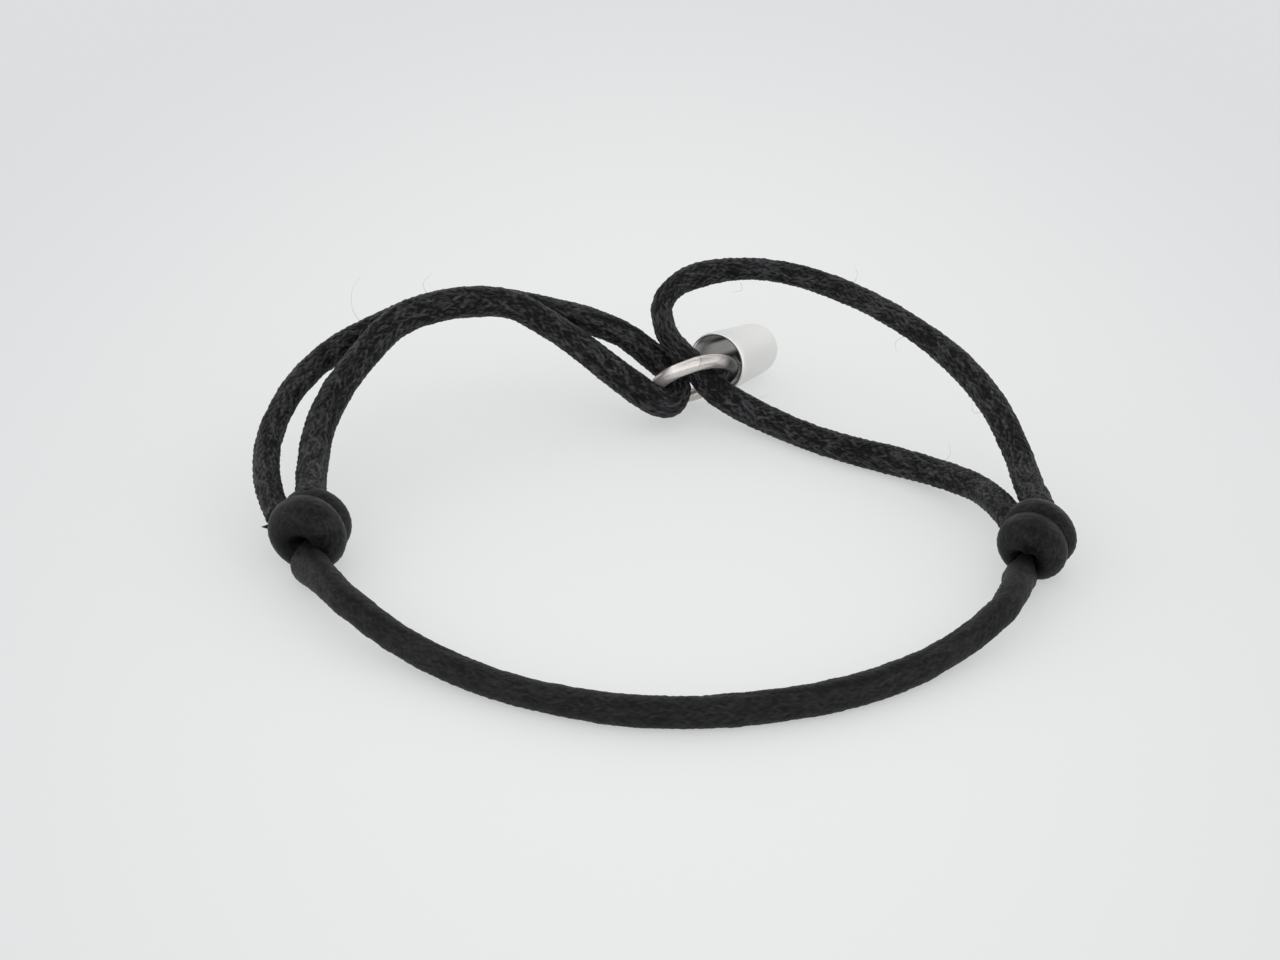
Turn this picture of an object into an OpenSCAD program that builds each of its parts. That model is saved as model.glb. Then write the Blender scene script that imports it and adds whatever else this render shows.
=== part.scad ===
// Adjustable cord bracelet lying on a table: one satin cord with two sliding knots,
// two doubled loops that meet in a jump ring, and a small hollow charm on that ring.
// Units are millimetres. +Z is up, the table is z = 0, and the wearer's wrist goes through along Z.

/* [Cord] */
// Diameter of the cord
cord_d = 2.1; // [2:0.05:2.1]
// Number of sides of the swept cord
cord_sides = 8; // [8:1:12]

/* [Knots] */
// Outer radius of the front turn of each knot
front_turn_r = 2.7; // [2.6:0.05:2.7]
// Outer radius of the back turn of each knot
back_turn_r = 2.8; // [2.75:0.05:2.8]
// Thickness of one tight turn of cord
turn_t = 2.2; // [2.1:0.05:2.2]

/* [Jump ring] */
// Diameter of the ring's wire
wire_d = 1.15; // [0.9:0.05:1.15]
// Diameter of the ring, measured at the middle of its wire
ring_d = 6.5; // [6.4:0.05:6.5]

/* [Charm] */
// Outer radius at the open mouth
mouth_r = 2.55; // [2.5:0.05:2.6]
// Outer radius of the rounded closed end
end_r = 2.15; // [1.8:0.05:2.15]
// Distance from the mouth to the centre of the rounded end
charm_reach = 6.5; // [5.8:0.1:6.5]
// Thickness of the charm's wall
charm_wall = 0.3; // [0.25:0.05:0.3]
// Diameter of the hole in the wall for the jump ring
ring_hole_d = 1.5; // [1.4:0.05:1.6]

/* [Hidden] */
$fn = 64;
cord_r = cord_d / 2;
wire_r = wire_d / 2;
ring_r = ring_d / 2;

// Centres of the front and back turns of the knots, in plan; the turns rest on the table
left_front_turn = [-25.55, -6.25];
left_back_turn = [-24.85, -4.6];
right_front_turn = [26.9, -7.5];
right_back_turn = [27.85, -6.3];
// Direction of each knot's axis in plan, towards the loops
left_knot_turn = 73;
right_knot_turn = 59;

// The jump ring leans back: tilt of its axis from +Z, then the axis's direction in plan
ring_at = [3.1, 17.5, 3.15];
ring_turn = [0, 51, 113];
// Angle round the ring, from its own x axis, at which its wire passes the charm's wall
ring_hole_angle = -42;
// How far round the ring the clearance in the charm's wall runs
ring_hole_sweep = 60;

// The charm lies with its mouth raised: its axis from the mouth to the closed end
mouth_at = [4.85, 19.1, 3.7];
charm_turn = [0, 103.5, 60];
end_arc_steps = 12;
// How far the hollow's cut runs on past the mouth
cut_past = 0.01;

// Route of the front cord, from the left knot to the right knot
front_route = [
    [-25.05, -8.55, 1.8], [-24.6, -9.9, 2.1], [-23.5, -11.8, 2.3], [-21.6, -14.5, 2.3],
    [-17.5, -18.3, 1.5], [-12.5, -21.8, 1.1], [-7, -24.4, 1.05], [-1, -25.8, 1.05],
    [5, -25.6, 1.05], [11, -24.2, 1.05], [16.5, -21.5, 1.05], [21, -18, 1.4], [23.8, -15.1, 2.0],
    [24.6, -13.7, 2.1], [25.2, -12.3, 2.1], [25.7, -10.7, 1.9], [26.15, -9.05, 1.65]
];

// Route of the left loop: out along the back strand, through the jump ring, home along the inner strand
left_route = [
    [-28.3, -2.8, 3.65], [-29, -0.5, 4.1], [-29.3, 2.5, 4.9], [-28.9, 5.5, 6.0],
    [-27.6, 8.8, 7.3], [-25.1, 12.2, 8.4], [-21.7, 14.9, 9.2], [-18.1, 16.9, 9.8],
    [-14.8, 18.3, 9.7], [-11.5, 19, 9.1], [-8, 19, 8.4], [-5, 18.9, 7.5],
    [-2.5, 18.9, 6.3], [-0.6, 18.6, 4.9], [0.6, 18, 4.0], [1.4, 17.4, 3.35],
    [1.9, 16.6, 2.75], [1.8, 15.6, 2.4], [1.0, 14.7, 2.3], [0, 14.5, 2.6],
    [-1, 14.7, 3.2], [-2.5, 15.4, 4.1], [-4.2, 15.9, 5.3], [-6.5, 16.3, 7.1],
    [-9, 16.4, 8.9], [-11.3, 16.3, 10.3], [-14, 15.7, 10.9], [-17, 14.7, 11.0],
    [-20.1, 13, 10.5], [-22.7, 10.3, 8.8], [-24.6, 7.3, 7.1], [-25.6, 3.8, 5.6],
    [-25.7, 0.2, 4.5], [-25.5, -2.5, 3.95]
];

// Route of the right loop: up over the high strand, through the jump ring, home along the low strand
right_route = [
    [27.75, -3.95, 3.95], [27.4, -1.5, 4.2], [26.9, 2, 5.1], [25.6, 6, 6.8],
    [23.4, 10, 8.2], [20.2, 14.1, 9.3], [16.7, 17.8, 9.9], [13, 21.1, 10.1],
    [9.5, 22.9, 10.2], [6.3, 23.4, 10.1], [3.4, 23.1, 9.7], [1.4, 22.1, 9.0],
    [0.5, 20.7, 8.1], [0.6, 19.2, 7.3], [1.1, 18.1, 6.4], [2.2, 17.4, 5.6],
    [3.15, 16.9, 4.6], [4.1, 16.6, 3.5], [5, 16, 2.5], [6.5, 15.2, 1.8],
    [9, 13.9, 1.2], [12, 11.5, 1.1], [15.5, 9.2, 1.1], [19, 7.2, 1.15],
    [22, 4.7, 1.5], [24.2, 1.6, 2.1], [25.3, -1.8, 2.7], [25.75, -3.4, 2.75]
];

function unit(v) = v / norm(v);

// Direction of travel at point i of a route
function heading(route, i) =
    let (last = len(route) - 1)
    unit(route[min(i + 1, last)] - route[max(i - 1, 0)]);

// Upward normal of the route at each point, carried along from the first so the tube doesn't twist
function carried(route, i = 0, up = [0, 0, 1]) =
    let (
        along = heading(route, i),
        here = unit(up - along * (up * along))
    )
    i == len(route) - 1 ? [here] : concat([here], carried(route, i + 1, here));

// One ring of the swept cord round a point, with a corner on the far side from its normal
function cord_ring(centre, along, up) =
    let (side = cross(along, up))
    [for (k = [0:cord_sides - 1])
        let (a = 360 * k / cord_sides)
        centre + cord_r * (cos(a) * side + sin(a) * up)];

// Solid tube swept along a route
module cord(route) {
    rings = len(route);
    ups = carried(route);
    points = [for (i = [0:rings - 1]) each cord_ring(route[i], heading(route, i), ups[i])];
    sides = [for (i = [0:rings - 2], k = [0:cord_sides - 1])
        let (
            a = i * cord_sides + k,
            b = i * cord_sides + (k + 1) % cord_sides
        )
        each [[a, b, b + cord_sides], [a, b + cord_sides, a + cord_sides]]];
    start_face = [for (k = [cord_sides - 1:-1:0]) k];
    end_face = [for (k = [0:cord_sides - 1]) (rings - 1) * cord_sides + k];
    polyhedron(points, concat([start_face], sides, [end_face]), convexity = 10);
}

// One tight turn of cord, standing on the table: a disc with a full round edge
module turn(at, radius, direction) {
    translate([at[0], at[1], radius])
        rotate([0, 90, direction])
            rotate_extrude() {
                translate([0, -turn_t / 2])
                    square([radius - turn_t / 2, turn_t]);
                translate([radius - turn_t / 2, 0])
                    circle(d = turn_t);
            }
}

module front_cord() {
    color("#1c1c1e") cord(front_route);
}

module left_loop() {
    color("#1c1c1e") cord(left_route);
}

module right_loop() {
    color("#1c1c1e") cord(right_route);
}

module left_knot() {
    color("#202022") {
        turn(left_front_turn, front_turn_r, left_knot_turn);
        turn(left_back_turn, back_turn_r, left_knot_turn);
    }
}

module right_knot() {
    color("#202022") {
        turn(right_front_turn, front_turn_r, right_knot_turn);
        turn(right_back_turn, back_turn_r, right_knot_turn);
    }
}

module jump_ring() {
    color("#d8d6d2")
        translate(ring_at)
            rotate(ring_turn)
                rotate_extrude()
                    translate([ring_r, 0])
                        circle(r = wire_r);
}

// Half outline of the charm, mouth at z = 0 and closed end upwards, drawn in by an inset
function charm_outline(inset) =
    let (lean = asin((mouth_r - end_r) / charm_reach))
    concat(
        [[0, 0], [mouth_r - inset, 0]],
        [for (k = [0:end_arc_steps - 1])
            let (a = lean + (90 - lean) * k / end_arc_steps)
            [(end_r - inset) * cos(a), charm_reach + (end_r - inset) * sin(a)]],
        [[0, charm_reach + end_r - inset]]
    );

// Curved clearance round the ring's wire where it passes the charm's wall
module ring_hole() {
    translate(ring_at)
        rotate(ring_turn)
            rotate([0, 0, ring_hole_angle - ring_hole_sweep / 2])
                rotate_extrude(angle = ring_hole_sweep)
                    translate([ring_r, 0])
                        circle(d = ring_hole_d);
}

module charm() {
    color("#dcdad6")
        difference() {
            translate(mouth_at)
                rotate(charm_turn)
                    rotate_extrude()
                        polygon(charm_outline(0));
            translate(mouth_at)
                rotate(charm_turn)
                    translate([0, 0, -cut_past])
                        rotate_extrude()
                            polygon(charm_outline(charm_wall));
            ring_hole();
        }
}

front_cord();
left_loop();
right_loop();
left_knot();
right_knot();
jump_ring();
charm();
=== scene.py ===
"""Looks of an adjustable satin cord bracelet that lies on a pale table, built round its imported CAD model."""
import math
from collections import namedtuple

import bpy
import numpy as np
from mathutils import Euler, Matrix, Vector


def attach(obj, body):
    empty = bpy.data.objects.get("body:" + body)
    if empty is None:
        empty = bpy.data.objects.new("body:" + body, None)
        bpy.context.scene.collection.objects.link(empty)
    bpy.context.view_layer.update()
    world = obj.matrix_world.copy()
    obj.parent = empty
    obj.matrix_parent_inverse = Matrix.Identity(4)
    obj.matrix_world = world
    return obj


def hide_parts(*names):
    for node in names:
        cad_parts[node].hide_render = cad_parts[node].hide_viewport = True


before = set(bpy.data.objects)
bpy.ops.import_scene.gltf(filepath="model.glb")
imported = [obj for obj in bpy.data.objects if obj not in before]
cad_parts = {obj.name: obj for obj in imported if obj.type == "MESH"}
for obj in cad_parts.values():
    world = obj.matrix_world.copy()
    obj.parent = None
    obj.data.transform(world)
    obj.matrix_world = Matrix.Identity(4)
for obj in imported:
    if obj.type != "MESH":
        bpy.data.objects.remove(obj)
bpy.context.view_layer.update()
MM = 0.001

# Strength of the dome of light at its top and all round its foot, and its colour
DOME_TOP = 0.5
DOME_SIDE = 1.4
DOME_COLOUR = (0.99, 0.995, 1.0, 1)
# Strength of the floor's own glow, which keeps its shadows faint
FLOOR_GLOW = 0.95
# Half of the floor's side, in metres
FLOOR_HALF = 1.2
# The floor's colour in the middle and away from it, darker away from the middle as painted shade of the
# light's falloff, where it changes, in metres from the middle, and how far the middle is stretched from front
# to back
FLOOR_NEAR = (0.432, 0.440, 0.438, 1)
FLOOR_FAR = (0.372, 0.377, 0.381, 1)
FLOOR_FADE = (0.01, 0.08)
FLOOR_SQUASH = (1, 0.55, 1)
# Places and width of the two lamps, in metres, and their watts
TOP_LAMP_AT = (0, -0.137, 0.45)
BACK_LAMP_AT = (0, 0.35, 0.35)
LAMP_SIZE = 0.14
TOP_WATTS = 0.04
BACK_WATTS = 0.03

# Place, tilt and lens of the camera
CAMERA_AT_MM = (-1.3, -158.0, 95.0)
CAMERA_TILT = math.radians(60.0)
CAMERA_LENS_MM = 68.9
CAMERA_SENSOR_MM = 36

# Radius of the cord, in millimetres
CORD_R = 1.05
# Strands in the braid, the length that each takes to cross the next, and the height of its relief
STRANDS = 11
BRAID_STEP = 0.62
BRAID_RELIEF = 0.1
# Part of each strand's height and tone that is the same for all strands; the rest is by chance
BRAID_EVEN = 0.75
TONE_EVEN = 0.25
# Painted shade of a strand where it dips under the next one: its tone there, as a part of its tone on top
SHADE_UNDER = 0.25
# Height of a strand, from 0 to 1, that lies level with the cord's radius
BRAID_LEVEL = 0.6
# Slow random change: the waves that are added up, their shortest and longest as parts of the length asked
# for, the most times that they change round the cord, and what their sum is divided by
NOISE_WAVES = 14
NOISE_SPANS = (0.6, 2.2)
NOISE_SIDES = 3
NOISE_SCALE = 5
# How far the braid's crossings wander along the cord and the surface swells, and over what lengths
BRAID_WANDER = 0.16
WANDER_LENGTH = 2.2
LONG_LUMPS = 0.02
LONG_LENGTH = 5.0
SHORT_LUMPS = 0.022
SHORT_LENGTH = 1.4
# How far they wander round it too, in turns for each millimetre along
WANDER_ROUND = 0.04
# Groove along each cord: its place as a part of a turn, how far that swings and over what length, its width
# as a part of a turn, its depth and how dark it is
SEAM_AT = 0.3
SEAM_SWING = 0.12
SEAM_LENGTH = 6
SEAM_WIDTH = 0.03
SEAM_DEPTH = 0.06
SEAM_DARK = 0.5
# Threads: radians that they turn in each millimetre, and how far their pattern is stretched along the cord
THREAD_TWIST = 0.24
THREAD_STRETCH = 0.22
# Scales of the threads of the two lays, and how much the braid's tone with its painted shade and the wider
# patches count beside them
THREAD_SCALES = (5.2, 4.6)
TONE_WEIGHT = 0.16
PATCH_WEIGHT = 0.25
# Distance between the rings of a cord's mesh, in millimetres, and the points in each ring
RING_STEP = 0.11
RING_POINTS = 66
# Parts into which the curve is cut between two points of a route
SPLINE_STEPS = 24
# Height at which a surface starts to be pressed flat on the table, and how softly
PRESS_HEIGHT = 0.05
PRESS_SOFTNESS = 0.3

# Rings and sides of the mesh of each turn of the knots, and the heights of its relief and of its lumps
TURN_RINGS = 150
TURN_SIDES = 48
KNOT_RELIEF = 0.045
KNOT_LUMPS = 0.05
# Shade of each turn, round its cord: in its hollow, by the cosine of the angle from its outside, and in the
# crease beside the next turn, by the sine. The cosine or sine where it starts, over how much it grows to its
# full, and how dark it is there
HOLLOW_FROM = 0.7
HOLLOW_SPAN = 1.3
HOLLOW_DARK = 0.9
CREASE_FROM = 0.6
CREASE_SPAN = 0.35
CREASE_DARK = 0.75
# Turns of the knots, the front one first: centre, radius of the turn, radius of its cord, and half of the
# distance by which its hollow lies below its middle
Turn = namedtuple("Turn", "centre radius tube_r drop")
LEFT_TURNS = (
    Turn(centre=(-25.4, -6.3, 2.95), radius=1.62, tube_r=1.36, drop=0.15),
    Turn(centre=(-25.0, -4.25, 2.7), radius=1.62, tube_r=1.12, drop=0.0),
)
LEFT_KNOT_AXIS = (0.29, 0.95, 0.03)
RIGHT_TURNS = (
    Turn(centre=(26.95, -7.55, 2.6), radius=1.42, tube_r=1.23, drop=0.38),
    Turn(centre=(27.7, -6.1, 2.85), radius=1.62, tube_r=1.12, drop=0.0),
)
RIGHT_KNOT_AXIS = (0.51, 0.86, 0.07)
# Trimmed tip of the cord at the left knot, the rings and sides of its mesh, how much it narrows and how
# roundly, and its tone and shade
Tip = namedtuple("Tip", "base point radius")
TIP_RINGS = 6
TIP_SIDES = 10
TIP_NARROWS = 0.92
TIP_CURVE = 1.3
TIP_TONE = 0.5
TIP_SHADE = 0.8
LEFT_TIP = Tip(base=(-27.9, -5.4, 3.0), point=(-28.8, -5.55, 3.05), radius=0.28)

# Loose fibres, in millimetres, each a few points from the cord outwards
FIBRE_R = 0.014
FIBRE_SIDES = 6
FIBRE_STEP = 0.08
FIBRE_NARROWS = 0.7
FIBRE_UP = (0.3, 1, 0.2)
FIBRES = (
    ((-23.0, 13.9, 9.7), (-23.7, 13.9, 11.2), (-23.6, 13.9, 12.8), (-22.9, 13.9, 13.9)),
    ((-18.0, 17.0, 10.7), (-18.4, 17.0, 11.8), (-17.7, 17.1, 12.7)),
    ((15.5, 18.9, 10.7), (16.0, 19.0, 11.6), (15.7, 19.1, 12.5)),
    ((19.5, 14.3, 8.6), (18.8, 14.2, 8.1), (18.9, 14.1, 7.2)),
    ((21.8, 5.0, 2.3), (22.4, 5.2, 3.0), (22.3, 5.3, 4.0)),
    ((25.1, 6.2, 6.3), (24.1, 6.1, 6.2), (23.9, 6.2, 7.3)),
    ((8.0, 14.7, 2.0), (8.3, 14.8, 2.8), (8.9, 14.9, 3.0)),
    ((1.3, 18.9, 7.1), (1.8, 18.8, 7.1), (1.95, 18.8, 7.4)),
    ((6.9, 22.9, 9.1), (7.0, 22.8, 8.5), (6.2, 22.8, 8.3)),
)

# Jump ring: its middle, its turn in degrees and its sizes in millimetres
RING_AT = (3.0, 17.4, 3.1)
RING_TURN = (0, 51, 112)
RING_R = 3.25
WIRE_R = 0.575
# Rings and sides of its mesh
RING_COUNT = 360
RING_SIDES = 32
# Its joint line: place, bulge in the middle and half width, in degrees round the ring, and how dark it is
JOINT_AT = 171
JOINT_BULGE = 3.5
JOINT_WIDTH = 0.8
JOINT_DARK = 0.7
# Middle and half length of that line, in radians round the wire
JOINT_MIDDLE = 0.2
JOINT_REACH = 0.75
# Painted highlight along a ridge up to the joint line: where it starts and is full, in degrees round the
# ring, and how much it adds to the ring's own brightness
RIDGE_RISE = (130, 140)
RIDGE_HIGHLIGHT = 0.35
RING_BRIGHTNESS = 0.9
# Painted dark reflections on the ring, in the charm's mouth and at its left, and painted shade among the
# cords: where each starts, is full, starts to end and has ended, in degrees round the ring, and how dark it is
RING_SHADES = (
    ((196, 220, 315, 330), 0.96),
    ((18, 35, 45, 65), 0.9),
    ((80, 95, 120, 140), 0.3),
)

# Charm: middle of its mouth, its turn in degrees and its sizes in millimetres
MOUTH_AT = (4.85, 19.1, 3.7)
CHARM_TURN = (0, 103.5, 60)
MOUTH_R = 2.55
END_R = 2.15
CHARM_REACH = 6.5
CHARM_WALL = 0.3
# Sides of its mesh, the steps of its rounded end, its rim and its hollow's end, and the rings of its side as
# parts of its reach
CHARM_SIDES = 128
END_STEPS = 22
RIM_STEPS = 12
HOLLOW_STEPS = 16
SIDE_AT = (0.75, 0.5, 0.25, 0.1)
# Hole for the ring in the charm's wall: its radius, and the stretch round the ring that it clears
RING_HOLE_R = 0.75
RING_HOLE_ANGLE = -42
RING_HOLE_SWEEP = 60
RING_HOLE_SIDES = 40
# Brightness of the charm's hollow, raised as painted light, how much painted shade darkens its far side, and
# how much lighter a painted highlight makes the rim, which fades out between two depths in millimetres
HOLLOW_BRIGHTNESS = 1.4
FAR_SIDE_DARK = 1.2
RIM_HIGHLIGHT = 0.35
RIM_FADE = (0.05, 0.2)
# Painted shade on the far side of the hollow and two painted reflections in it: where each starts, is full,
# starts to end and has ended, in degrees round the charm
FAR_SIDE_SHADE = (118, 140, 330, 355)
NEAR_MOUTH = (70, 85, 112, 130)
NEAR_END = (65, 80, 104, 116)
# Depths in the hollow, in millimetres, between which the first painted reflection ends and the second one
# starts
NEAR_MOUTH_ENDS = (1.3, 1.9)
NEAR_END_STARTS = (2.7, 3.3)
# How much smoother the charm's hollow is than its outside, and the strength of the glow of the painted
# reflections in it
POLISH = 0.55
GLINT = 0.28

# Routes of the three runs of cord: x, y, z and the cord's radius at each point, in millimetres
FRONT_ROUTE = [
    (-25.5, -6.2, 1.7, 0.75), (-25.3, -7.1, 1.45, 1.10), (-25.1, -8.0, 1.35, 1.40), (-24.5, -9.6, 1.8, 1.27),
    (-23.4, -11.7, 2.2, 1.16), (-21.6, -14.5, 2.3, 1.10), (-17.5, -18.3, 1.5, 1.07),
    (-12.5, -21.8, 1.1, 1.06), (-7, -24.4, 1.05, 1.04),
    (-1, -25.8, 1.05, 1.10), (5, -25.6, 1.05, 1.12), (11, -24.2, 1.05, 1.12), (16.5, -21.5, 1.05, 1.10),
    (21, -18, 1.4, 1.02), (23.8, -15.1, 2.0, 1.06), (24.6, -13.7, 2.1, 1.08), (25.2, -12.3, 2.1, 1.09),
    (25.6, -10.5, 1.6, 1.14), (25.9, -9.4, 1.1, 1.22), (26.25, -8.4, 1.15, 0.98), (26.6, -7.5, 1.5, 0.65),
]
LEFT_ROUTE = [
    (-27.6, -4.6, 3.3, 1.00), (-28.2, -3.1, 3.6, 1.00), (-29, -0.5, 4.1, 1.01), (-29.3, 2.5, 4.9, 1.01),
    (-28.9, 5.5, 6.0, 0.97), (-27.6, 8.8, 7.3, 0.98), (-25.1, 12.2, 8.4, 1.06), (-21.7, 14.9, 9.2, 1.08),
    (-18.1, 16.9, 9.8, 1.12), (-14.8, 18.3, 9.7, 1.15), (-11.5, 19, 9.1, 1.12), (-8, 19, 8.4, 1.05),
    (-5, 18.9, 7.5, 1.09), (-2.5, 18.9, 6.3, 1.06), (-0.6, 18.6, 4.9, 1.12), (0.6, 18, 4.0, 1.10),
    (1.3, 17.4, 3.4, 1.10), (1.7, 16.6, 2.8, 1.08), (1.55, 15.6, 2.4, 1.08), (0.9, 14.75, 2.3, 1.14),
    (0, 14.6, 2.65, 1.20), (-1, 14.8, 3.2, 1.22), (-2.5, 15.4, 4.1, 1.22), (-4.2, 15.9, 5.3, 1.18),
    (-6.5, 16.3, 7.1, 1.12), (-9, 16.4, 8.9, 1.12), (-11.3, 16.3, 10.3, 1.13), (-14, 15.7, 10.9, 1.22),
    (-17, 14.7, 11.0, 1.23), (-20.1, 13, 10.5, 1.22), (-22.7, 10.3, 8.8, 1.16), (-24.6, 7.3, 7.1, 1.20),
    (-25.6, 3.8, 5.6, 1.18), (-25.7, 0.2, 4.5, 1.18), (-25.5, -2.4, 4.25, 1.14), (-25.3, -4.2, 4.4, 1.08),
]
RIGHT_ROUTE = [
    (27.7, -6.0, 4.4, 1.05), (27.7, -4.4, 4.25, 1.10), (27.4, -1.5, 4.25, 1.11), (26.9, 2, 5.1, 1.06),
    (25.6, 6, 6.8, 1.08), (23.4, 10, 8.2, 1.06), (20.2, 14.1, 9.3, 0.95), (16.7, 17.8, 9.9, 0.93),
    (13, 21.1, 10.1, 0.93), (9.5, 22.9, 10.2, 0.88), (6.3, 23.4, 10.1, 0.94), (3.4, 23.1, 9.7, 1.03),
    (1.4, 22.1, 9.0, 0.91), (0.5, 20.7, 8.1, 0.88), (0.6, 19.2, 7.3, 0.88), (1.1, 18.1, 6.4, 0.92),
    (2.1, 17.4, 5.5, 0.94), (3.1, 16.9, 4.6, 1.02), (4.0, 16.6, 3.45, 1.12), (5.1, 16.15, 2.55, 1.18),
    (6.6, 15.4, 1.85, 1.17), (9, 14.0, 1.25, 1.10), (12, 11.5, 1.1, 1.07), (15.5, 9.2, 1.1, 1.10),
    (19, 7.2, 1.15, 1.13), (22, 4.7, 1.5, 1.08), (24.2, 1.6, 2.1, 1.05), (25.3, -1.8, 2.7, 1.05),
    (25.9, -4.3, 2.9, 1.06), (26.2, -5.6, 2.9, 1.00),
]


# Curves and tubes

def unit(v):
    """Vectors of length 1 in the same directions."""
    return v / np.linalg.norm(v, axis=-1, keepdims=True)


def smooth_route(route, step):
    """Evenly spaced points on a smooth curve through a route, the radius at each, and its distance along."""
    marks = np.array(route, float)
    ext = np.vstack([2 * marks[0] - marks[1], marks, 2 * marks[-1] - marks[-2]])
    fine = []
    for a, b, c, d in zip(ext[:-3], ext[1:-2], ext[2:-1], ext[3:]):
        for t in np.linspace(0, 1, SPLINE_STEPS, endpoint=False):
            fine.append(0.5 * (2 * b + (c - a) * t + (2 * a - 5 * b + 4 * c - d) * t ** 2
                               + (3 * b - a - 3 * c + d) * t ** 3))
    fine.append(marks[-1])
    fine = np.array(fine)
    along = np.concatenate([[0], np.cumsum(np.linalg.norm(np.diff(fine[:, :3], axis=0), axis=1))])
    count = int(round(along[-1] / step)) + 1
    even = np.linspace(0, along[-1], count)
    spaced = np.column_stack([np.interp(even, along, fine[:, k]) for k in range(4)])
    return spaced[:, :3], spaced[:, 3], even


def carried_frames(points, first_up):
    """Side and up of a tube at each point, turned as little as possible along it."""
    ahead = unit(np.gradient(points, axis=0))
    up = np.array(first_up, float)
    ups = []
    for direction in ahead:
        up = up - direction * (up @ direction)
        up = up / np.linalg.norm(up)
        ups.append(up)
    ups = np.array(ups)
    return np.cross(ahead, ups), ups


def scatter(one, two, seed):
    """A number from 0 to 1 for each pair of whole numbers, with no pattern that shows."""
    key = one * 12.9898 + two * 78.233 + seed
    return np.mod(np.sin(key) * 43758.5453, 1.0)


def circle(count):
    """Angles of a number of points evenly spaced round a circle."""
    return 2 * np.pi * np.arange(count) / count


def braid(along, turn, strands, step, seed):
    """Height and tone, from 0 to 1, of a braid whose strands cross over and under each other.

    Both depend on the distance along the cord and the part of a turn round it. The tone differs at random from
    strand to strand and carries painted shade, darker along each strand's edges and where it dips under the
    next.
    """
    one = strands * turn + along / step
    two = strands * turn - along / step
    i, j = np.floor(one), np.floor(two)
    arch = np.abs(np.sin(np.pi * one) * np.sin(np.pi * two)) ** 0.5
    across = np.where((i + j) % 2 == 0, one - i, two - j)
    chance = scatter(np.mod(i + j, 2 * strands), i - j, seed)
    height = arch * (BRAID_EVEN + (1 - BRAID_EVEN) * chance)
    # Painted shade along each strand's edges and where it dips under the next one
    edge_shade = 1 - np.abs(2 * across - 1) ** 3
    tone = (SHADE_UNDER + (1 - SHADE_UNDER) * arch) * edge_shade * (TONE_EVEN + (1 - TONE_EVEN) * chance)
    return height, tone


def thread_lay(along, turn, twist):
    """Place of each point on a straight, twisted cord, in millimetres, so that threads can run round it."""
    angle = 2 * np.pi * turn + twist * along
    parts = np.broadcast_arrays(CORD_R * np.cos(angle), CORD_R * np.sin(angle), THREAD_STRETCH * along)
    return np.stack(parts, axis=-1).reshape(-1, 3)


def soft_noise(along, turn, length, seed):
    """Slow random change along and round a tube, from about -1 to 1."""
    rng = np.random.default_rng(seed)
    total = np.zeros(np.broadcast(along, turn).shape)
    for _ in range(NOISE_WAVES):
        span = length * rng.uniform(*NOISE_SPANS)
        sides = rng.integers(-NOISE_SIDES, NOISE_SIDES + 1)
        total += np.sin(2 * np.pi * (along / span + sides * turn + rng.uniform()))
    return total / NOISE_SCALE


def mesh_object(name, verts, faces, **layers):
    """A smooth object from vertices in metres and faces, with named layers of a value for each vertex."""
    mesh = bpy.data.meshes.new(name)
    mesh.from_pydata([tuple(v) for v in verts], [], [tuple(int(i) for i in f) for f in faces])
    for layer_name, values in layers.items():
        values = np.asarray(values, "float32").reshape(len(verts), -1)
        kind, field = ("FLOAT", "value") if values.shape[1] == 1 else ("FLOAT_VECTOR", "vector")
        layer = mesh.attributes.new(name=layer_name, type=kind, domain="POINT")
        layer.data.foreach_set(field, values.ravel())
    mesh.polygons.foreach_set("use_smooth", [True] * len(mesh.polygons))
    mesh.update()
    obj = bpy.data.objects.new(name, mesh)
    bpy.context.scene.collection.objects.link(obj)
    return obj


def tube_faces(rings, sides, closed=False):
    """Quads of a tube of rings, facing out, joined up at its end if it is closed."""
    quads = []
    for i in range(rings if closed else rings - 1):
        for k in range(sides):
            j, m = (i + 1) % rings, (k + 1) % sides
            quads.append((i * sides + k, j * sides + k, j * sides + m, i * sides + m))
    return quads


def end_caps(rings, sides):
    """The two flat faces that close an open tube."""
    first = tuple(range(sides))
    last = tuple((rings - 1) * sides + k for k in range(sides - 1, -1, -1))
    return [first, last]


def join_part(verts, faces, more_verts, more_faces):
    """Adds a part's vertices and faces to the lists of a mesh."""
    faces += [tuple(i + len(verts) for i in face) for face in more_faces]
    verts += list(more_verts)


def laid_flat(verts):
    """Vertices with the ones under the table's surface pressed up to just above it."""
    low = verts[:, 2] < PRESS_HEIGHT
    verts[low, 2] = PRESS_HEIGHT * np.exp((verts[low, 2] - PRESS_HEIGHT) / PRESS_SOFTNESS)
    return verts


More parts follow.
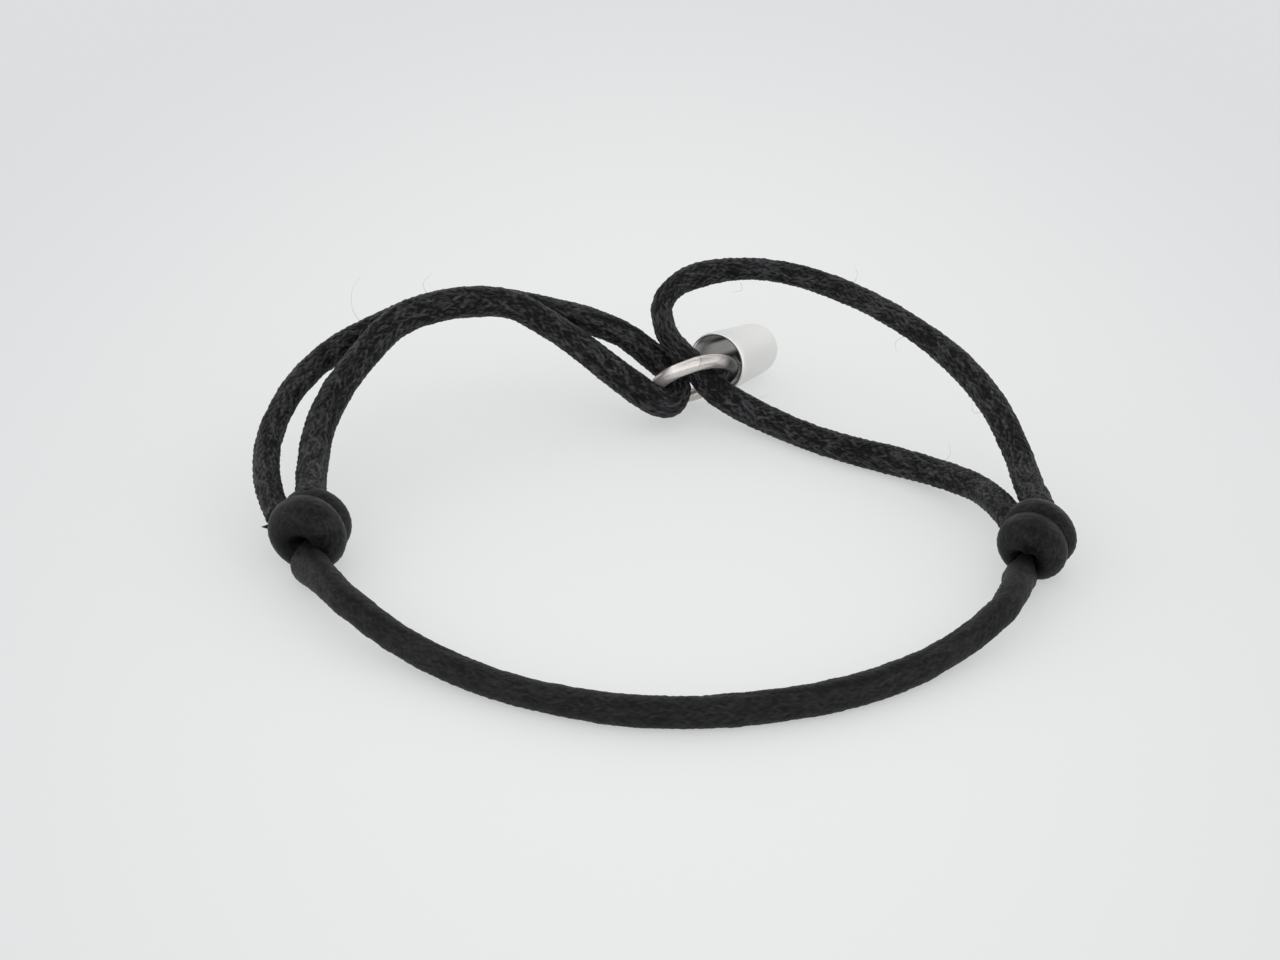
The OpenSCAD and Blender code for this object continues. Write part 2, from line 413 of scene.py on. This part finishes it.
def cord_tube(name, route, relief, seed):
    """Braided cord along a route, with the braid's relief, pressed flat where it meets the table."""
    points, radii, along = smooth_route(route, RING_STEP)
    side, up = carried_frames(points, (0, 0, 1))
    turn = (np.arange(RING_POINTS) / RING_POINTS)[None, :]
    run = along[:, None]
    wander = BRAID_WANDER * soft_noise(run, turn, WANDER_LENGTH, seed + 3)
    height, tone = braid(run + wander, turn + WANDER_ROUND * wander, STRANDS, BRAID_STEP, seed)
    lumps = LONG_LUMPS * soft_noise(run, turn, LONG_LENGTH, seed + 1)
    lumps += SHORT_LUMPS * soft_noise(run, turn, SHORT_LENGTH, seed + 2)
    seam_turn = SEAM_AT + SEAM_SWING * np.sin(along / SEAM_LENGTH + seed)
    seam = np.exp(-((turn - seam_turn[:, None]) / SEAM_WIDTH) ** 2)
    radius = radii[:, None] + relief * (height - BRAID_LEVEL) + lumps - SEAM_DEPTH * seam
    shade = (1 - SEAM_DARK * seam) * np.ones_like(tone)
    angle = 2 * np.pi * turn[..., None]
    out = np.cos(angle) * side[:, None, :] + np.sin(angle) * up[:, None, :]
    verts = laid_flat((points[:, None, :] + radius[..., None] * out).reshape(-1, 3))
    faces = tube_faces(len(points), RING_POINTS) + end_caps(len(points), RING_POINTS)
    obj = mesh_object(name, verts * MM, faces, tone=tone, shade=shade,
                      lay_one=thread_lay(run, turn, THREAD_TWIST),
                      lay_two=thread_lay(run, turn, -THREAD_TWIST))
    return obj, points, float(along[-1])


# Materials

def new_material(name):
    """A material with its nodes and links."""
    material = bpy.data.materials.new(name)
    material.use_nodes = True
    return material, material.node_tree.nodes, material.node_tree.links


def attribute(nodes, name):
    """A node that reads one of the mesh's own layers."""
    node = nodes.new("ShaderNodeAttribute")
    node.attribute_name = name
    return node


def object_place(nodes):
    """The place of each point on its object."""
    return nodes.new("ShaderNodeTexCoord").outputs["Object"]


def noise_texture(nodes, links, place, scale, detail=2.0, roughness=0.5):
    """Value of a noise texture at a place."""
    noise = nodes.new("ShaderNodeTexNoise")
    noise.inputs["Scale"].default_value = scale
    noise.inputs["Detail"].default_value = detail
    noise.inputs["Roughness"].default_value = roughness
    links.new(place, noise.inputs["Vector"])
    return noise.outputs["Fac"]


def thread_noise(nodes, links, layer, scale):
    """Short threads that follow one lay of the cord."""
    lay = attribute(nodes, layer).outputs["Vector"]
    return noise_texture(nodes, links, lay, scale, detail=1.5, roughness=0.6)


def math_node(nodes, links, operation, *values):
    """Output of a math node on two or three values, each a number or another node's output."""
    node = nodes.new("ShaderNodeMath")
    node.operation = operation
    for socket, value in zip(node.inputs, values):
        if isinstance(value, (int, float)):
            socket.default_value = value
        else:
            links.new(value, socket)
    return node.outputs[0]


def colour_ramp(nodes, links, value, dark, light, spread=(0, 1)):
    """Colour from dark to light over a spread of a value."""
    ramp = nodes.new("ShaderNodeValToRGB")
    for element, colour, position in zip(ramp.color_ramp.elements, (dark, light), spread):
        element.position = position
        element.color = (*colour, 1)
    links.new(value, ramp.inputs["Fac"])
    return ramp.outputs["Color"]


def multiplied(nodes, links, colour, shade):
    """A colour, or the output that gives it, times a shade."""
    node = nodes.new("ShaderNodeMix")
    node.data_type = "RGBA"
    node.blend_type = "MULTIPLY"
    node.inputs["Factor"].default_value = 1
    if isinstance(colour, tuple):
        node.inputs["A"].default_value = (*colour, 1)
    else:
        links.new(colour, node.inputs["A"])
    links.new(shade, node.inputs["B"])
    return node.outputs["Result"]


def add_bump(nodes, links, shader, height, strength, distance):
    """Fine relief on a shader, by a height."""
    bump = nodes.new("ShaderNodeBump")
    bump.inputs["Strength"].default_value = strength
    bump.inputs["Distance"].default_value = distance
    links.new(height, bump.inputs["Height"])
    links.new(bump.outputs["Normal"], shader.inputs["Normal"])


def satin_material(name, dark, light, spread, roughness):
    """Black braided satin: threads of both lays show where they lie on top, over the braid's greys of random
    tone and painted shade.
    """
    material, nodes, links = new_material(name)
    shader = nodes["Principled BSDF"]
    shader.inputs["Roughness"].default_value = roughness
    shader.inputs["Specular IOR Level"].default_value = 0.12
    shader.inputs["Sheen Weight"].default_value = 0.03
    shader.inputs["Sheen Roughness"].default_value = 0.5
    one = thread_noise(nodes, links, "lay_one", THREAD_SCALES[0])
    two = thread_noise(nodes, links, "lay_two", THREAD_SCALES[1])
    threads = math_node(nodes, links, "MAXIMUM", one, two)
    tone = attribute(nodes, "tone").outputs["Fac"]
    toned = math_node(nodes, links, "MULTIPLY_ADD", tone, TONE_WEIGHT, threads)
    patches = noise_texture(nodes, links, object_place(nodes), scale=350)
    patched = math_node(nodes, links, "MULTIPLY_ADD", patches, PATCH_WEIGHT, toned)
    colour = colour_ramp(nodes, links, patched, dark, light, spread)
    shade = attribute(nodes, "shade").outputs["Fac"]
    links.new(multiplied(nodes, links, colour, shade), shader.inputs["Base Color"])
    add_bump(nodes, links, shader, threads, strength=0.5, distance=0.00006)
    return material


def metal_material(name, colour, metallic, rough_low, rough_high, scale, hollow=False):
    """White metal with faint wear in its roughness, and its painted dark reflections, shade and highlights in
    the mesh's shade layer.

    A hollow piece has two more layers: the smoother polish inside it and its painted reflections, which glow.
    """
    material, nodes, links = new_material(name)
    shader = nodes["Principled BSDF"]
    shader.inputs["Specular IOR Level"].default_value = 0.3
    shade = attribute(nodes, "shade").outputs["Fac"]
    links.new(multiplied(nodes, links, colour, shade), shader.inputs["Base Color"])
    wear = noise_texture(nodes, links, object_place(nodes), scale, detail=4)
    add_bump(nodes, links, shader, wear, strength=0.15, distance=0.00002)
    spread = nodes.new("ShaderNodeMapRange")
    spread.inputs["To Min"].default_value = rough_low
    spread.inputs["To Max"].default_value = rough_high
    links.new(wear, spread.inputs["Value"])
    roughness = spread.outputs["Result"]
    if hollow:
        polish = attribute(nodes, "polish").outputs["Fac"]
        smooth = math_node(nodes, links, "MULTIPLY_ADD", polish, -POLISH, 1)
        roughness = math_node(nodes, links, "MULTIPLY", roughness, smooth)
        metallic = math_node(nodes, links, "MULTIPLY_ADD", polish, 1 - metallic, metallic)
        glow = math_node(nodes, links, "MULTIPLY", attribute(nodes, "glint").outputs["Fac"], GLINT)
        links.new(glow, shader.inputs["Emission Strength"])
        shader.inputs["Emission Color"].default_value = (*colour, 1)
    links.new(roughness, shader.inputs["Roughness"])
    links.new(math_node(nodes, links, "MULTIPLY", metallic, shade), shader.inputs["Metallic"])
    return material


def floor_material():
    """Matt pale paper, made a little darker away from the middle by painted shade, that glows faintly in its
    own colour as painted light.
    """
    material, nodes, links = new_material("floor_paper")
    shader = nodes["Principled BSDF"]
    shader.inputs["Roughness"].default_value = 0.9
    shader.inputs["Specular IOR Level"].default_value = 0.1
    shader.inputs["Emission Strength"].default_value = FLOOR_GLOW
    squash = nodes.new("ShaderNodeMapping")
    squash.inputs["Scale"].default_value = FLOOR_SQUASH
    reach = nodes.new("ShaderNodeVectorMath")
    reach.operation = "LENGTH"
    shade_falloff = nodes.new("ShaderNodeMapRange")
    shade_falloff.interpolation_type = "SMOOTHSTEP"
    shade_falloff.inputs["From Min"].default_value = FLOOR_FADE[0]
    shade_falloff.inputs["From Max"].default_value = FLOOR_FADE[1]
    mix = nodes.new("ShaderNodeMix")
    mix.data_type = "RGBA"
    mix.inputs["A"].default_value = FLOOR_NEAR
    mix.inputs["B"].default_value = FLOOR_FAR
    links.new(object_place(nodes), squash.inputs["Vector"])
    links.new(squash.outputs["Vector"], reach.inputs[0])
    links.new(reach.outputs["Value"], shade_falloff.inputs["Value"])
    links.new(shade_falloff.outputs["Result"], mix.inputs["Factor"])
    links.new(mix.outputs["Result"], shader.inputs["Base Color"])
    links.new(mix.outputs["Result"], shader.inputs["Emission Color"])
    return material


def fibre_material():
    """Grey lint, a little uneven along its length."""
    material, nodes, links = new_material("lint")
    shader = nodes["Principled BSDF"]
    shader.inputs["Roughness"].default_value = 0.8
    patches = noise_texture(nodes, links, object_place(nodes), scale=800)
    colour = colour_ramp(nodes, links, patches, dark=(0.12, 0.12, 0.125), light=(0.45, 0.45, 0.46))
    links.new(colour, shader.inputs["Base Color"])
    return material


# Camera

def add_camera():
    """The camera, in front of the bracelet and above it."""
    data = bpy.data.cameras.new("camera")
    data.lens = CAMERA_LENS_MM
    data.sensor_width = CAMERA_SENSOR_MM
    data.clip_start = 0.001
    data.clip_end = 5
    camera = bpy.data.objects.new("camera", data)
    camera.location = Vector(CAMERA_AT_MM) * MM
    camera.rotation_euler = Euler((CAMERA_TILT, 0, 0))
    bpy.context.scene.collection.objects.link(camera)
    bpy.context.scene.camera = camera


# Pieces

def finish_piece(obj, material, slot, *nodes):
    """Gives a piece its material, and lets it ride and stand for its CAD nodes. Its slot is not used."""
    obj.data.materials.append(material)
    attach(obj, "root")
    if nodes:
        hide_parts(*nodes)


def add_cords(front_material, loop_material):
    """The three runs of cord, each along its route."""
    runs = {
        "front_cord_braid": (FRONT_ROUTE, "front_cord", front_material, BRAID_RELIEF * 0.5, 3),
        "left_loop_braid": (LEFT_ROUTE, "left_loop", loop_material, BRAID_RELIEF, 11),
        "right_loop_braid": (RIGHT_ROUTE, "right_loop", loop_material, BRAID_RELIEF, 23),
    }
    for name, (route, node, material, relief, seed) in runs.items():
        obj, points, length = cord_tube(name, route, relief, seed)
        finish_piece(obj, material, "satin_cord", node)


def add_fibres(material):
    """Short loose fibres that stand off the cords."""
    verts = []
    faces = []
    angle = circle(FIBRE_SIDES)
    for route in FIBRES:
        points, radii, along = smooth_route([(*p, FIBRE_R) for p in route], FIBRE_STEP)
        side, up = carried_frames(points, FIBRE_UP)
        taper = radii * (1 - FIBRE_NARROWS * along / along[-1])
        out = np.cos(angle)[None, :, None] * side[:, None] + np.sin(angle)[None, :, None] * up[:, None]
        tube = (points[:, None, :] + taper[:, None, None] * out).reshape(-1, 3)
        quads = tube_faces(len(points), FIBRE_SIDES) + end_caps(len(points), FIBRE_SIDES)
        join_part(verts, faces, tube, quads)
    obj = mesh_object("stray_fibres", np.array(verts) * MM, faces)
    finish_piece(obj, material, "satin_cord")


def turn_tube(tight, axis, facing, seed):
    """Vertices and layers of one tight turn of cord: a closed braided ring round an axis.

    It is darkest in its hollow, which lies below its middle by about twice the drop, and in the crease that
    its facing picks.
    """
    axis = unit(np.array(axis, float))
    side = unit(np.cross((0, 0, 1), axis))
    over = np.cross(axis, side)
    angle = circle(TURN_RINGS)
    out = np.cos(angle)[:, None] * side + np.sin(angle)[:, None] * over
    swell = tight.drop * out[:, 2]
    points = np.array(tight.centre) + (tight.radius - swell)[:, None] * out
    turn = (np.arange(TURN_SIDES) / TURN_SIDES)[None, :]
    length = 2 * np.pi * (tight.radius + tight.tube_r)
    step = length / (2 * round(length / (2 * BRAID_STEP)))
    run = angle[:, None] / (2 * np.pi) * length
    height, tone = braid(run, turn, STRANDS, step, seed)
    lumps = KNOT_LUMPS * soft_noise(run, turn, length / 2, seed + 1)
    size = (tight.tube_r + swell[:, None] + KNOT_RELIEF * (height - BRAID_LEVEL)
            + lumps * np.sin(angle[:, None] / 2) ** 2)
    around = 2 * np.pi * turn
    verts = points[:, None, :] + size[..., None] * (
        np.cos(around)[..., None] * out[:, None, :] + np.sin(around)[..., None] * axis)
    hollow = np.clip((HOLLOW_FROM - np.cos(around)) / HOLLOW_SPAN, 0, 1) * np.ones_like(run)
    crease = np.clip((np.abs(np.sin(around)) - CREASE_FROM) / CREASE_SPAN, 0, 1)
    crease = crease * np.clip(1 + np.sin(around) * facing, 0, 1)
    layers = {
        "tone": tone.ravel(),
        "shade": ((1 - HOLLOW_DARK * hollow) * (1 - CREASE_DARK * crease)).ravel(),
        "lay_one": thread_lay(run, turn, THREAD_TWIST),
        "lay_two": thread_lay(run, turn, -THREAD_TWIST),
    }
    return laid_flat(verts.reshape(-1, 3)), layers


def stub(tip):
    """Vertices and faces of a small pointed stub, the trimmed end of a cord."""
    base, point = np.array(tip.base, float), np.array(tip.point, float)
    ahead = unit(point - base)
    side = unit(np.cross((0, 0, 1), ahead))
    over = np.cross(side, ahead)
    verts = []
    for t in np.arange(TIP_RINGS) / (TIP_RINGS - 1):
        size = tip.radius * (1 - TIP_NARROWS * t ** TIP_CURVE)
        for a in circle(TIP_SIDES):
            verts.append(base + t * (point - base) + size * (math.cos(a) * side + math.sin(a) * over))
    return np.array(verts), tube_faces(TIP_RINGS, TIP_SIDES) + end_caps(TIP_RINGS, TIP_SIDES)


def add_knot(name, node, turns, axis, material, seed, tip=None):
    """A knot of two tight turns of cord, with the trimmed tip of the cord if it shows."""
    verts = []
    faces = []
    layers = {"tone": [], "shade": [], "lay_one": [], "lay_two": []}
    for number, turn in enumerate(turns):
        facing = 1 if number == 0 else -1
        ring, values = turn_tube(turn, axis, facing, seed + 7 * number)
        join_part(verts, faces, ring, tube_faces(TURN_RINGS, TURN_SIDES, closed=True))
        for key in layers:
            layers[key] += list(values[key])
    if tip:
        ring, quads = stub(tip)
        join_part(verts, faces, ring, quads)
        layers["tone"] += [TIP_TONE] * len(ring)
        layers["shade"] += [TIP_SHADE] * len(ring)
        layers["lay_one"] += list(ring)
        layers["lay_two"] += list(ring)
    obj = mesh_object(name, np.array(verts) * MM, faces, **layers)
    finish_piece(obj, material, "knot_cord", node)


def metal_place(at, turn):
    """Matrix, in metres, of a piece turned as in the CAD model and then moved into place."""
    rotation = Euler([math.radians(a) for a in turn], "XYZ").to_matrix().to_4x4()
    return Matrix.Translation(Vector(at) * MM) @ rotation


def soft_step(value, start, end):
    """Smooth change from 0 at the start to 1 at the end."""
    t = np.clip((value - start) / (end - start), 0, 1)
    return t * t * (3 - 2 * t)


def soft_band(value, stretch):
    """Smooth change from 0 to 1 and back, by where it starts, is full, starts to end and has ended."""
    start, full, still_full, end = stretch
    return soft_step(value, start, full) * (1 - soft_step(value, still_full, end))


def ring_verts(angle, around, tube_r):
    """Vertices of a round wire along the ring's circle, in millimetres, before it is turned into place."""
    spread = RING_R + tube_r * np.cos(around)[None, :]
    height = np.broadcast_to(tube_r * np.sin(around)[None, :], (len(angle), len(around)))
    flat = (np.cos(angle)[:, None] * spread, np.sin(angle)[:, None] * spread)
    return np.stack([*flat, height], axis=-1).reshape(-1, 3)


def ring_shade(angle, around):
    """Brightness of the ring: its painted dark reflections and shade, and at its joint a fine dark line and a
    painted highlight along a ridge.
    """
    degrees = np.degrees(angle)
    along = np.ones_like(degrees)
    for stretch, depth in RING_SHADES:
        along *= 1 - depth * soft_band(degrees, stretch)
    middle = (around - JOINT_MIDDLE + np.pi) % (2 * np.pi) - np.pi
    bulge = JOINT_AT + JOINT_BULGE * np.cos(2 * middle)[None, :]
    reach = np.exp(-(middle / JOINT_REACH) ** 2)[None, :]
    joint = reach * np.exp(-((degrees[:, None] - bulge) / JOINT_WIDTH) ** 2)
    # Painted highlight along a ridge up to the joint line
    ridge_highlight = reach * soft_step(degrees, *RIDGE_RISE)[:, None] * (degrees[:, None] < bulge)
    return along[:, None] * (RING_BRIGHTNESS + RIDGE_HIGHLIGHT * ridge_highlight) * (1 - JOINT_DARK * joint)


def add_ring(material):
    """The jump ring, with the fine line where its two ends meet."""
    angle = circle(RING_COUNT)
    around = circle(RING_SIDES)
    verts = ring_verts(angle, around, WIRE_R)
    faces = tube_faces(RING_COUNT, RING_SIDES, closed=True)
    obj = mesh_object("jump_ring_wire", verts * MM, faces, shade=ring_shade(angle, around))
    obj.data.transform(metal_place(RING_AT, RING_TURN))
    finish_piece(obj, material, "ring_metal", "jump_ring")


def charm_outline():
    """Radius and distance from the mouth along the charm's section, from its tip to its hollow's end."""
    lean = math.asin((MOUTH_R - END_R) / CHARM_REACH)
    lip = CHARM_WALL / 2
    outside = [(END_R * math.cos(a), CHARM_REACH + END_R * math.sin(a))
               for a in np.linspace(math.pi / 2, lean, END_STEPS)]
    side = [(MOUTH_R + (END_R - MOUTH_R) * t, CHARM_REACH * t) for t in SIDE_AT]
    rim = [(MOUTH_R - lip + lip * math.cos(a), lip - lip * math.sin(a))
           for a in np.linspace(0, math.pi, RIM_STEPS)]
    wall = [(r - CHARM_WALL, z) for r, z in reversed(side)]
    inner = END_R - CHARM_WALL
    hollow = [(inner * math.cos(a), CHARM_REACH + inner * math.sin(a))
              for a in np.linspace(lean, math.pi / 2, HOLLOW_STEPS)]
    return outside + side + rim + wall + hollow


def lathe(name, outline, sides):
    """Solid of revolution whose outline starts and ends on its axis."""
    verts = [(0, 0, outline[0][1])]
    for radius, height in outline[1:-1]:
        for k in range(sides):
            a = 2 * math.pi * k / sides
            verts.append((radius * math.cos(a), radius * math.sin(a), height))
    verts.append((0, 0, outline[-1][1]))
    rows = len(outline) - 2
    faces = [(0, 1 + (k + 1) % sides, 1 + k) for k in range(sides)]
    for row in range(rows - 1):
        for k in range(sides):
            a = 1 + row * sides + k
            b = 1 + row * sides + (k + 1) % sides
            faces.append((a, b, b + sides, a + sides))
    last = 1 + (rows - 1) * sides
    faces += [(last + k, last + (k + 1) % sides, len(verts) - 1) for k in range(sides)]
    return mesh_object(name, np.array(verts) * MM, faces)


def wire_cutter():
    """Sector of a ring, a little thicker than the wire, for the hole in the charm's wall."""
    start = math.radians(RING_HOLE_ANGLE - RING_HOLE_SWEEP / 2)
    angle = start + math.radians(RING_HOLE_SWEEP) * np.arange(RING_HOLE_SIDES) / (RING_HOLE_SIDES - 1)
    verts = ring_verts(angle, circle(RING_HOLE_SIDES), RING_HOLE_R)
    faces = tube_faces(RING_HOLE_SIDES, RING_HOLE_SIDES) + end_caps(RING_HOLE_SIDES, RING_HOLE_SIDES)
    obj = mesh_object("wire_cutter", verts * MM, faces)
    obj.data.transform(metal_place(RING_AT, RING_TURN))
    return obj


def charm_shade(mesh):
    """Layers of the charm: its brightness with painted shade and highlight, and the polish and the glowing
    painted reflections of its hollow.
    """
    back = np.array(metal_place(MOUTH_AT, CHARM_TURN).inverted())
    coords = np.empty(len(mesh.vertices) * 3)
    mesh.vertices.foreach_get("co", coords)
    local = (coords.reshape(-1, 3) @ back[:3, :3].T + back[:3, 3]) / MM
    radius = np.hypot(local[:, 0], local[:, 1])
    depth = local[:, 2]
    outer = MOUTH_R + (END_R - MOUTH_R) * depth / CHARM_REACH
    in_side = (depth < CHARM_REACH) & (radius < outer - CHARM_WALL / 2)
    in_end = (depth >= CHARM_REACH) & (np.hypot(radius, depth - CHARM_REACH) < END_R - CHARM_WALL / 2)
    around = np.degrees(np.arctan2(local[:, 1], local[:, 0])) % 360
    # Painted highlight on the rim, which fades out with depth
    rim = 1 + RIM_HIGHLIGHT * (1 - soft_step(depth, *RIM_FADE))
    inside = in_side | in_end
    # Painted shade on the hollow's far side, and painted reflections near its mouth and near its end
    far_side_shade = soft_band(around, FAR_SIDE_SHADE)
    near_mouth = soft_band(around, NEAR_MOUTH) * (1 - soft_step(depth, *NEAR_MOUTH_ENDS))
    near_end = soft_band(around, NEAR_END) * soft_step(depth, *NEAR_END_STARTS)
    shade = np.where(inside, HOLLOW_BRIGHTNESS - FAR_SIDE_DARK * far_side_shade, rim)
    glint = np.where(inside, np.maximum(near_mouth, near_end), 0)
    return {"shade": shade, "polish": inside * 1.0, "glint": glint}


def add_charm(material):
    """The hollow charm, mouth up, with the hole through which the jump ring passes."""
    body = lathe("charm_shell", charm_outline(), CHARM_SIDES)
    body.data.transform(metal_place(MOUTH_AT, CHARM_TURN))
    cutter = wire_cutter()
    cut = body.modifiers.new("hole", "BOOLEAN")
    cut.operation = "DIFFERENCE"
    cut.solver = "EXACT"
    cut.object = cutter
    shape = bpy.data.meshes.new_from_object(body.evaluated_get(bpy.context.evaluated_depsgraph_get()))
    body.modifiers.clear()
    body.data = shape
    bpy.data.objects.remove(cutter)
    for layer_name, values in charm_shade(body.data).items():
        layer = body.data.attributes.new(name=layer_name, type="FLOAT", domain="POINT")
        layer.data.foreach_set("value", values.astype("float32"))
    finish_piece(body, material, "charm_metal", "charm")


def add_floor():
    """The pale surface that the bracelet lies on."""
    mesh = bpy.data.meshes.new("floor")
    corners = [(FLOOR_HALF * x, FLOOR_HALF * y, 0) for x, y in ((-1, -1), (1, -1), (1, 1), (-1, 1))]
    mesh.from_pydata(corners, [], [(0, 1, 2, 3)])
    floor = bpy.data.objects.new("floor", mesh)
    bpy.context.scene.collection.objects.link(floor)
    floor.data.materials.append(floor_material())


def add_area(name, at, watts):
    """A square lamp that points at the middle of the bracelet."""
    data = bpy.data.lights.new(name, "AREA")
    data.shape = "SQUARE"
    data.size = LAMP_SIZE
    data.energy = watts
    lamp = bpy.data.objects.new(name, data)
    lamp.location = at
    lamp.rotation_euler = (-Vector(at)).to_track_quat("-Z", "Y").to_euler()
    bpy.context.scene.collection.objects.link(lamp)


def add_dome():
    """Soft light from all round, weaker from straight above than from the sides."""
    world = bpy.data.worlds.new("studio")
    bpy.context.scene.world = world
    world.use_nodes = True
    nodes, links = world.node_tree.nodes, world.node_tree.links
    place = nodes.new("ShaderNodeTexCoord")
    parts = nodes.new("ShaderNodeSeparateXYZ")
    squared = math_node(nodes, links, "MULTIPLY", parts.outputs["Z"], parts.outputs["Z"])
    strength = math_node(nodes, links, "MULTIPLY_ADD", squared, DOME_TOP - DOME_SIDE, DOME_SIDE)
    back = nodes["Background"]
    back.inputs["Color"].default_value = DOME_COLOUR
    links.new(place.outputs["Generated"], parts.inputs["Vector"])
    links.new(strength, back.inputs["Strength"])


def add_lights():
    """All the light, and the plain view transform."""
    add_dome()
    add_area("top_front_light", TOP_LAMP_AT, TOP_WATTS)
    add_area("back_light", BACK_LAMP_AT, BACK_WATTS)
    bpy.context.scene.view_settings.view_transform = "Standard"


satin = satin_material("black_satin", dark=(0.0015, 0.0015, 0.002), light=(0.066, 0.066, 0.070),
                       spread=(0.66, 0.99), roughness=0.6)
front_satin = satin_material("black_satin_front", dark=(0.005, 0.005, 0.0055), light=(0.025, 0.024, 0.026),
                             spread=(0.6, 1.0), roughness=0.6)
knot_satin = satin_material("black_satin_tight", dark=(0.004, 0.004, 0.0045), light=(0.026, 0.026, 0.027),
                            spread=(0.6, 1.0), roughness=0.5)
ring_metal = metal_material("polished_ring", colour=(0.66, 0.62, 0.60), metallic=0.75,
                            rough_low=0.2, rough_high=0.32, scale=1500)
charm_metal = metal_material("polished_charm", colour=(0.70, 0.695, 0.68), metallic=0.4,
                             rough_low=0.36, rough_high=0.48, scale=900, hollow=True)

add_camera()
add_cords(front_satin, satin)
add_knot("left_knot_turns", "left_knot", LEFT_TURNS, LEFT_KNOT_AXIS, knot_satin, 41, LEFT_TIP)
add_knot("right_knot_turns", "right_knot", RIGHT_TURNS, RIGHT_KNOT_AXIS, knot_satin, 51)
add_fibres(fibre_material())
add_ring(ring_metal)
add_charm(charm_metal)
add_floor()
add_lights()
